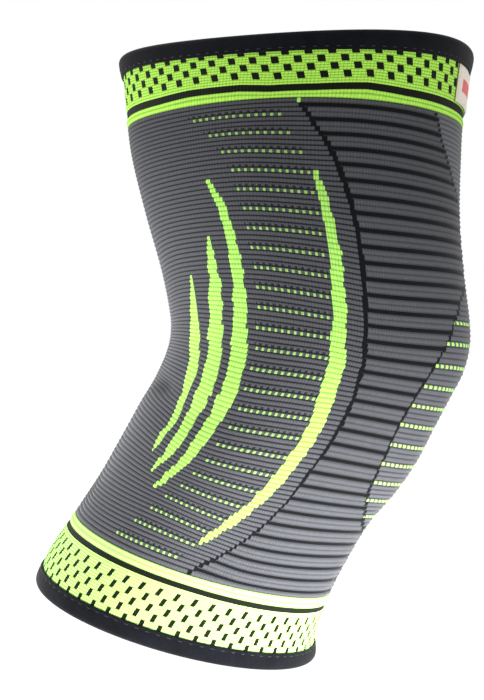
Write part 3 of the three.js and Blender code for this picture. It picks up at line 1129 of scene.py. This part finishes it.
@dataclass
class KnitBody:
    """The ribbed jacquard tube between the two bands: lengths in millimetres, flat sizes in metres."""

    columns: int = 192
    rows_in_course: int = 4
    inner_step: int = 2
    valley_depth: float = 0.28
    rib_height: float = 0.4
    band_depth: float = 0.22
    seam_gap: float = 0.05
    back_ground: str = "#3a3a3f"
    back_speck: str = "#5f5f65"
    fold_at: float = 158.5
    fold_depth: float = 2.6
    fold_reach: float = 4.4
    fold_centre: float = 0.42
    fold_width: float = 0.2
    flat_girth: float = 0.33
    flat_length: float = 0.2

    def build(self, ribs: bpy.types.NodeTree) -> bpy.types.Object:
        """Knit the tube and raise its ribs.

        Args:
            ribs: the tree that raises ribs.

        Returns:
            The finished body.
        """
        turn, around, side = ring_columns(self.columns)
        outer = np.arange(COURSES * self.rows_in_course + 1) / self.rows_in_course
        inner = np.arange(COURSES, -1, -self.inner_step, dtype=float)
        course = np.concatenate([outer, inner])
        outside = np.concatenate([np.ones(len(outer)), np.zeros(len(inner))])
        start, end = FORM.upper_band + self.seam_gap, FORM.body_end - self.seam_gap
        along = start + course[:, None] * (end - start) / COURSES + self.drift(course, around)
        angle = FORM.angles(along, around) * side
        out = np.where(outside > 0, -self.valley_depth, -FORM.knit_wall)[:, None]
        fold = self.fold(along, angle)
        points = FORM.point(along, angle, out - fold)
        # The fold attribute carries the fold's depth to the knit's painted shade
        piece = sweep("knit_body_jacquard", points, turn, course / COURSES, course=course[:, None],
                      outside=outside[:, None], front=self.front(course, around), fold=fold / self.fold_depth)
        back = KnitBack(name="Jacquard knit, inner face", ground=self.back_ground, speck=self.back_speck,
                        courses=float(COURSES))
        run_nodes(piece, ribs, {"Rib height": self.rib_height * MM, "Band depth": self.band_depth * MM,
                                "Outer knit": JacquardKnit().make(), "Inner knit": back.make()})
        declare(piece, "grey_knit", "knit_body")
        return piece

    def fold(self, along: np.ndarray, angle: np.ndarray) -> np.ndarray:
        """Find how deep the bent knee folds the knit behind it.

        Args:
            along: distances down the middle line.
            angle: angles from the front.

        Returns:
            Millimetres inwards, in the shape of along.
        """
        from_back = math.pi - np.abs(angle)
        across = np.exp(-((from_back - self.fold_centre) / self.fold_width) ** 2)
        off = (along - self.fold_at) / self.fold_reach
        return self.fold_depth * across * np.exp(-off * off)

    @staticmethod
    def drift(course: np.ndarray, around: np.ndarray) -> np.ndarray:
        """Find how far each course runs below an even one.

        Args:
            course: courses, one for each row.
            around: shares of the half girth, one for each column.

        Returns:
            Millimetres down the leg, rows by columns.
        """
        table = np.array(COURSE_DRIFT, float)
        rows = hermite(table[:, 0], table[:, 1:], course)
        shares = np.array((0.0, *DRIFT_SHARES))
        edged = np.concatenate([rows[:, :1], rows], axis=1)
        return hermite(shares, edged.T, around).T

    @staticmethod
    def front(course: np.ndarray, around: np.ndarray) -> np.ndarray:
        """Find how far each point is in the black-banded front.

        Args:
            course: courses, one for each row.
            around: shares of the half girth, one for each column.

        Returns:
            0 to 1, rows by columns.
        """
        soft = 3.0
        wale = around * WALES
        contour, wedge, lens = (np.array(table, float) for table in (CONTOUR, WEDGE, LENS))
        past = (wale - np.interp(course, contour[:, 0], contour[:, 1])[:, None]) / soft
        wedge_at = np.interp(course, wedge[:, 0], wedge[:, 1])
        lens_at = np.where((course > lens[0, 0]) & (course < lens[-1, 0]),
                           np.interp(course, lens[:, 0], lens[:, 1]), WALES + soft)
        short = (np.minimum(wedge_at, lens_at)[:, None] - wale) / soft
        return np.clip(past, 0, 1) * np.clip(short, 0, 1)


@dataclass
class KnitBand:
    """A checked elastic band between the knit body and a taped rim, in millimetres; flat in metres."""

    rim: Rim
    node: str
    finish: CheckedKnit
    sway: tuple[tuple[float, float], ...]
    side_dip: float
    flat_girth: float
    columns: int = 320
    rib_pitch: float = 1.25
    rows_in_rib: int = 4
    inner_pitch: float = 2.5
    tape_room: float = 1.6
    seam_gap: float = 0.05
    rib_height: float = 0.2
    bead_height: float = 0.3
    line_depth: float = 0.22
    base_depth: float = 0.2
    back_course: float = 0.7
    back_ground: str = "#7fae3c"
    back_speck: str = "#2c3320"

    @property
    def height(self) -> float:
        """Height of the band from the knit body to its rim."""
        return FORM.upper_band if self.rim is Rim.THIGH else FORM.lower_band

    def build(self, ribs: bpy.types.NodeTree) -> bpy.types.Object:
        """Knit the band and raise its ribs.

        Args:
            ribs: the tree that raises ribs.

        Returns:
            The finished band.
        """
        turn, around, side = ring_columns(self.columns)
        reach = self.height - self.tape_room
        outer = np.linspace(self.seam_gap, reach, int(reach / self.rib_pitch * self.rows_in_rib))
        inner = np.linspace(reach, self.seam_gap, int(reach / self.inner_pitch))
        away = np.concatenate([outer, inner])
        outside = np.concatenate([np.ones(len(outer)), np.zeros(len(inner))])
        sway = np.interp(around, *zip(*self.sway)) * self.sway_share(away)[:, None]
        distance = away[:, None] + sway
        seam = FORM.upper_band if self.rim is Rim.THIGH else FORM.body_end
        along = seam - self.rim.value * distance
        angle = FORM.angles(along, around) * side
        along = along + self.side_dip * (away / reach)[:, None] * np.sin(angle) ** 2
        face = self.relief(away)
        out = np.where(outside > 0, face, -FORM.knit_wall)[:, None]
        points = FORM.point(along, angle, out + 0 * angle)
        finish = self.finish
        course = (away - finish.first_row) * finish.ribs_in_row / finish.row_pitch + finish.ribs_in_row / 2
        piece = sweep(f"{self.node}_checked", points, turn, away / finish.span, course=course[:, None],
                      outside=outside[:, None], front=0 * angle)
        back = KnitBack(name=f"{finish.name}, inner face", ground=self.back_ground, speck=self.back_speck,
                        courses=self.height / self.back_course)
        run_nodes(piece, ribs, {"Rib height": self.rib_height * MM, "Band depth": 0.0,
                                "Outer knit": finish.make(), "Inner knit": back.make()})
        declare(piece, "lime_knit", self.node)
        return piece

    def sway_share(self, away: np.ndarray) -> np.ndarray:
        """Find the share of the sway at each distance from the body, none at the band's two edges."""
        near, far, end = 2.0, 14.0, 24.0
        return np.clip(away / near, 0, 1) * np.clip((end - away) / (end - far), 0, 1)

    def relief(self, away: np.ndarray) -> np.ndarray:
        """Find the height of the band's face: a bead at its lime line and a groove at its black one.

        Args:
            away: distances from the body in millimetres.

        Returns:
            Distances outside the knit's face.
        """
        finish = self.finish
        flatness = 0.6
        bead = np.sin(np.pi * np.clip(away / finish.line_from, 0, 1)) ** flatness
        middle = (finish.line_from + finish.line_to) / 2
        half = (finish.line_to - finish.line_from) / 2
        groove = np.exp(-((away - middle) / half) ** 4)
        return -self.base_depth + self.bead_height * bead - self.line_depth * groove


@dataclass
class RimBinding:
    """Soft tape folded over a rim and stitched down near its edge, in millimetres; flat in metres."""

    rim: Rim
    node: str
    height: float
    side_dip: float
    flat_length: float
    columns: int = 384
    wall: float = 0.9
    roll: float = 0.4
    gap: float = 0.1
    inner_share: float = 0.85
    stitch_inset: float = 1.3
    stitch_pitch: float = 4.5
    stitch_length: float = 1.9
    stitch_width: float = 0.34
    stitch_out: float = 0.98
    pucker: float = 0.07
    pucker_reach: float = 1.2
    thread: str = "#25262e"
    turned_in: float = 4.0
    uv_span: float = 40.0

    def profile(self) -> tuple[np.ndarray, int]:
        """Draw the tape's section.

        Returns:
            Distances from the rim and outside the knit, and how many of them are the outer face.
        """
        inside = -FORM.knit_wall - self.gap
        puff = 0.2
        out_face, in_face = self.gap + self.wall + puff, inside - self.wall - puff
        middle, crown = (out_face + in_face) / 2, (out_face - in_face) / 2 + self.roll
        tall, short = self.height, self.height * self.inner_share
        groove = tall - self.stitch_inset
        # Rows of the section: distance from the rim, distance outside the knit
        outer = [(tall - 0.1, self.gap), (tall, 0.45), (tall - 0.2, 0.85), (groove + 0.5, 1.02),
                 (groove, 0.88), (groove - 0.7, 1.16), (tall * 0.6, 1.42), (crown + 0.8, 1.56)]
        slices = 13
        bend = [(crown * (1 - math.sin(t)), middle + crown * math.cos(t))
                for t in np.linspace(0, math.pi, slices)]
        back = short - self.stitch_inset
        inner = [(crown + 0.8, in_face - 0.36), (back - 0.7, in_face - 0.1), (back, in_face + 0.3),
                 (back + 0.5, in_face + 0.14), (short - 0.2, in_face + 0.35), (short, inside - 0.4),
                 (short - 0.1, inside)]
        shown = np.array(outer + bend + inner)
        knots = np.arange(len(shown), dtype=float)
        fineness = 3
        fine = hermite(knots, shown, np.linspace(0, knots[-1], fineness * len(shown)))
        fold = self.wall + self.roll
        hidden = np.array([(fold, inside), (fold, self.gap)])
        return np.concatenate([fine, hidden]), len(fine)

    def build(self, stitches: bpy.types.NodeTree) -> list[bpy.types.Object]:
        """Fold the tape over its rim and sew it.

        Args:
            stitches: the tree that sews a row of stitches.

        Returns:
            The tape and its stitches.
        """
        turn, around, side = ring_columns(self.columns)
        profile, shown = self.profile()
        start = 0.0 if self.rim is Rim.THIGH else FORM.length
        level = start + self.rim.value * profile[:, :1] + 0 * around
        angle = FORM.angles(level, around) * side
        along = level + self.side_dip * np.sin(angle) ** 2
        girth = 2 * self.half_girth(start)
        count = round(girth / self.stitch_pitch)
        near = np.exp(-((profile[:, :1] - self.height + self.stitch_inset) / self.pucker_reach) ** 2)
        wave = np.cos(2 * np.pi * count * turn[:-1]) * self.pucker * near * np.sign(profile[:, 1:] + 1)
        wave[shown:] = 0
        points = FORM.point(along, angle, profile[:, 1:] + wave)
        run = np.concatenate([[0], np.cumsum(np.linalg.norm(np.diff(profile, axis=0), axis=1))])
        tape = sweep(f"{self.node}_tape", points, turn, run / self.uv_span)
        tape.data.materials.append(BindingTape().make())
        declare(tape, "black_tape", self.node)
        groove = self.height - self.stitch_inset
        path_level = np.full((1, self.columns), start + self.rim.value * groove)
        path_angle = FORM.angles(path_level, around) * side
        path_along = path_level + self.side_dip * np.sin(path_angle) ** 2
        path = FORM.point(path_along, path_angle, self.stitch_out + 0 * path_angle)[0]
        thread = SewingThread(name="Grey sewing thread", colour=self.thread).make()
        seam = sew(f"{self.node}_stitches", path, girth / count, self.stitch_length, self.stitch_width,
                   thread, stitches)
        declare(seam, "black_tape")
        return [tape, seam]

    @staticmethod
    def half_girth(along: float) -> float:
        """Measure half the girth at a distance down the leg, in millimetres."""
        slices = 361
        turn = np.linspace(0, math.pi, slices)
        line = FORM.point(np.full_like(turn, along), turn, 0.0)
        return float(np.linalg.norm(np.diff(line, axis=0), axis=1).sum())


@dataclass
class FrontLabel:
    """Woven label sewn on the front of the upper band: millimetres, radians, and metres where flat."""

    top: float = 9.4
    bottom: float = 24.3
    half_angle: float = 0.53
    lift: float = 0.35
    wall: float = 0.6
    columns: int = 72
    rows: int = 20
    round_rows: float = 14.0
    round_columns: float = 24.0
    edge_wall: float = 0.35
    flat_width: float = 0.086
    stitch_inset: float = 1.1
    stitch_turn: float = 0.016
    stitch_pitch: float = 2.0
    stitch_length: float = 1.4
    stitch_width: float = 0.3
    stitch_lift: float = 0.02
    thread: str = "#d8d5c4"

    def build(self, stitches: bpy.types.NodeTree) -> list[bpy.types.Object]:
        """Lay the label on the band and sew it round.

        Args:
            stitches: the tree that sews a row of stitches.

        Returns:
            The label and its stitches.
        """
        share = np.linspace(0, 1, self.rows)
        across = np.linspace(-1, 1, self.columns)
        rows = np.concatenate([share, share[::-1]])
        face = np.concatenate([np.ones(self.rows), np.zeros(self.rows)])
        edge = (np.minimum(1, self.round_rows * np.minimum(rows, 1 - rows))[:, None]
                * np.minimum(1, self.round_columns * (1 - np.abs(across))))
        along = self.top + (self.bottom - self.top) * rows[:, None] + 0 * across
        angle = self.half_angle * across + 0 * along
        round_off = np.sqrt(np.clip(edge, 0, 1))
        out = self.lift + self.wall * face[:, None] * (self.edge_wall + (1 - self.edge_wall) * round_off)
        points = FORM.point(along, angle, out)
        label = sweep("front_label_woven", points, (across + 1) / 2, rows, closed=False)
        label.data.materials.append(WovenLabel().make())
        declare(label, "label_cloth", "front_label")
        thread = SewingThread(name="Pale sewing thread", colour=self.thread).make()
        seam = sew("front_label_stitches", self.seam_path(), self.stitch_pitch, self.stitch_length,
                   self.stitch_width, thread, stitches)
        declare(seam, "label_cloth")
        return [label, seam]

    def seam_path(self) -> np.ndarray:
        """Draw the line of stitches round the label.

        Returns:
            Points in millimetres, closing on themselves.
        """
        top, bottom = self.top + self.stitch_inset, self.bottom - self.stitch_inset
        side = self.half_angle - self.stitch_turn
        steps = 48
        ahead = np.linspace(-side, side, steps)
        downward = np.linspace(top, bottom, steps // 4)[1:-1]
        edge = np.full(len(downward), side)
        angle = np.concatenate([ahead, edge, ahead[::-1], -edge])
        along = np.concatenate([np.full(steps, top), downward, np.full(steps, bottom), downward[::-1]])
        return FORM.point(along, angle, self.lift + self.wall + self.stitch_lift)


class Beam(Enum):
    """The kinds of lamp in the studio."""

    SOFTBOX = "AREA"
    SPOT = "SPOT"


@dataclass(frozen=True)
class Lamp:
    """A studio lamp: places in metres, power in watts, spread in degrees for a spot."""

    name: str
    beam: Beam
    place: tuple[float, float, float]
    aim: tuple[float, float, float]
    size: float
    power: float
    spread: float = 60.0

    def hang(self) -> None:
        """Put the lamp in the scene, turned to its aim."""
        light = bpy.data.lights.new(self.name, self.beam.value)
        light.energy = self.power
        if self.beam is Beam.SPOT:
            light.shadow_soft_size = self.size
            light.spot_size = math.radians(self.spread)
            light.spot_blend = 1.0
        else:
            light.size = self.size
        lamp = bpy.data.objects.new(self.name, light)
        lamp.location = self.place
        lamp.rotation_euler = (Vector(self.aim) - Vector(self.place)).to_track_quat("-Z", "Y").to_euler()
        bpy.context.scene.collection.objects.link(lamp)


# Name, kind, place, aim, size, power and spread
LAMPS = (
    Lamp("low_front", Beam.SPOT, (0.42, -0.34, -0.29), (0.0, -0.03, -0.16), 0.08, 70.0, 34.0),
    Lamp("back_of_knee", Beam.SPOT, (-0.7, 0.16, -0.03), (-0.05, 0.0, -0.01), 0.1, 42.0, 26.0),
    Lamp("calf_fill", Beam.SPOT, (-0.14, -0.5, -0.28), (-0.08, -0.05, -0.12), 0.08, 17.0, 30.0),
    Lamp("front_softbox", Beam.SOFTBOX, (0.2, -1.3, 0.9), (0.0, 0.0, 0.0), 0.9, 0.6),
    Lamp("far_softbox", Beam.SOFTBOX, (-0.1, 1.4, 0.6), (0.0, 0.0, 0.0), 1.0, 2.0),
)


@dataclass
class Studio:
    """Pale floor, soft lights and a camera at the side of the knee."""

    target: tuple[float, float, float] = (-34.7, 0.0, -6.7)
    distance: float = 457.0
    elevation: float = 0.37
    lens: float = 52.46
    sensor: float = 36.0
    floor_drop: float = 200.0
    floor_size: float = 60.0
    lamps: tuple[Lamp, ...] = LAMPS

    def build(self) -> None:
        """Set up the floor, the lights and the camera."""
        scene = bpy.context.scene
        scene.view_settings.view_transform = "Standard"
        world = bpy.data.worlds.new("White studio")
        scene.world = world
        world.use_nodes = True
        background = world.node_tree.nodes["Background"]
        background.inputs["Color"].default_value = (1, 1, 1, 1)
        background.inputs["Strength"].default_value = 1.0
        half = self.floor_size / 2
        low = CAD_BOX[0][2] - self.floor_drop * MM
        mesh = bpy.data.meshes.new("studio_floor")
        mesh.from_pydata([(-half, -half, low), (half, -half, low), (half, half, low), (-half, half, low)], [],
                         [(0, 1, 2, 3)])
        floor = bpy.data.objects.new("studio_floor", mesh)
        floor.data.materials.append(StudioFloor().make())
        scene.collection.objects.link(floor)
        floor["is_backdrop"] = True
        for lamp in self.lamps:
            lamp.hang()
        camera = bpy.data.cameras.new("photo_camera")
        camera.lens = self.lens
        camera.sensor_fit = "VERTICAL"
        camera.sensor_height = self.sensor
        camera.clip_start = 0.01
        view = bpy.data.objects.new("photo_camera", camera)
        rise = math.radians(self.elevation)
        aim = Vector(self.target) * MM
        view.location = aim + Vector((0, -math.cos(rise), math.sin(rise))) * self.distance * MM
        view.rotation_euler = (aim - view.location).to_track_quat("-Z", "Y").to_euler()
        scene.collection.objects.link(view)
        scene.camera = view


UPPER_CHECKS = CheckedKnit(name="Elastic checked knit, thigh band", first_row=10.6, row_pitch=3.75,
                           first_block=0.2045, block_pitch=0.0397, stagger=0.39, line_from=3.3, line_to=6.5)
# The calf band's lime and valley colours are paler than the thigh band's: painted light, a lit copy of the
# same yarn for the brighter lower leg
LOWER_CHECKS = CheckedKnit(name="Elastic checked knit, calf band", first_row=10.1, row_pitch=3.55,
                           first_block=0.2058, block_pitch=0.0403, stagger=0.425, line_from=4.0, line_to=6.4,
                           block_width=0.25, block_height=0.92, lime="#b2e97c", lime_shade_colour="#70a846")

# How far the lines and checks of each band stray from the body: share of the half girth, millimetres
UPPER_SWAY = ((0.0, 0.0), (0.19, 0.0), (0.27, 0.7), (0.375, 0.5), (0.43, -0.5), (0.51, -0.2), (0.6, 1.0),
              (0.68, 0.2), (1.0, 0.0))
LOWER_SWAY = ((0.0, 0.0), (0.3, 0.1), (0.5, 0.0), (0.7, 0.6), (1.0, 0.8))


def main() -> None:
    """Build the sleeve's pieces in order and report each one."""
    logging.basicConfig(level=logging.INFO, format="%(name)s: %(message)s")
    Studio().build()
    ribs, stitches = rib_tree(), stitch_tree()
    KnitBody().build(ribs)
    KnitBand(Rim.THIGH, "upper_band", UPPER_CHECKS, UPPER_SWAY, side_dip=2.6, flat_girth=0.4).build(ribs)
    KnitBand(Rim.CALF, "lower_band", LOWER_CHECKS, LOWER_SWAY, side_dip=0.0, flat_girth=0.32).build(ribs)
    RimBinding(Rim.THIGH, "upper_binding", height=8.6, side_dip=2.6, flat_length=0.42).build(stitches)
    RimBinding(Rim.CALF, "lower_binding", height=7.6, side_dip=0.0, flat_length=0.34).build(stitches)
    FrontLabel().build(stitches)
    boxes = {"cad": CAD_BOX, "visual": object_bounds()}
    {key: [list(corner) for corner in box] for key, box in boxes.items()}


if __name__ == "__main__":
    main()
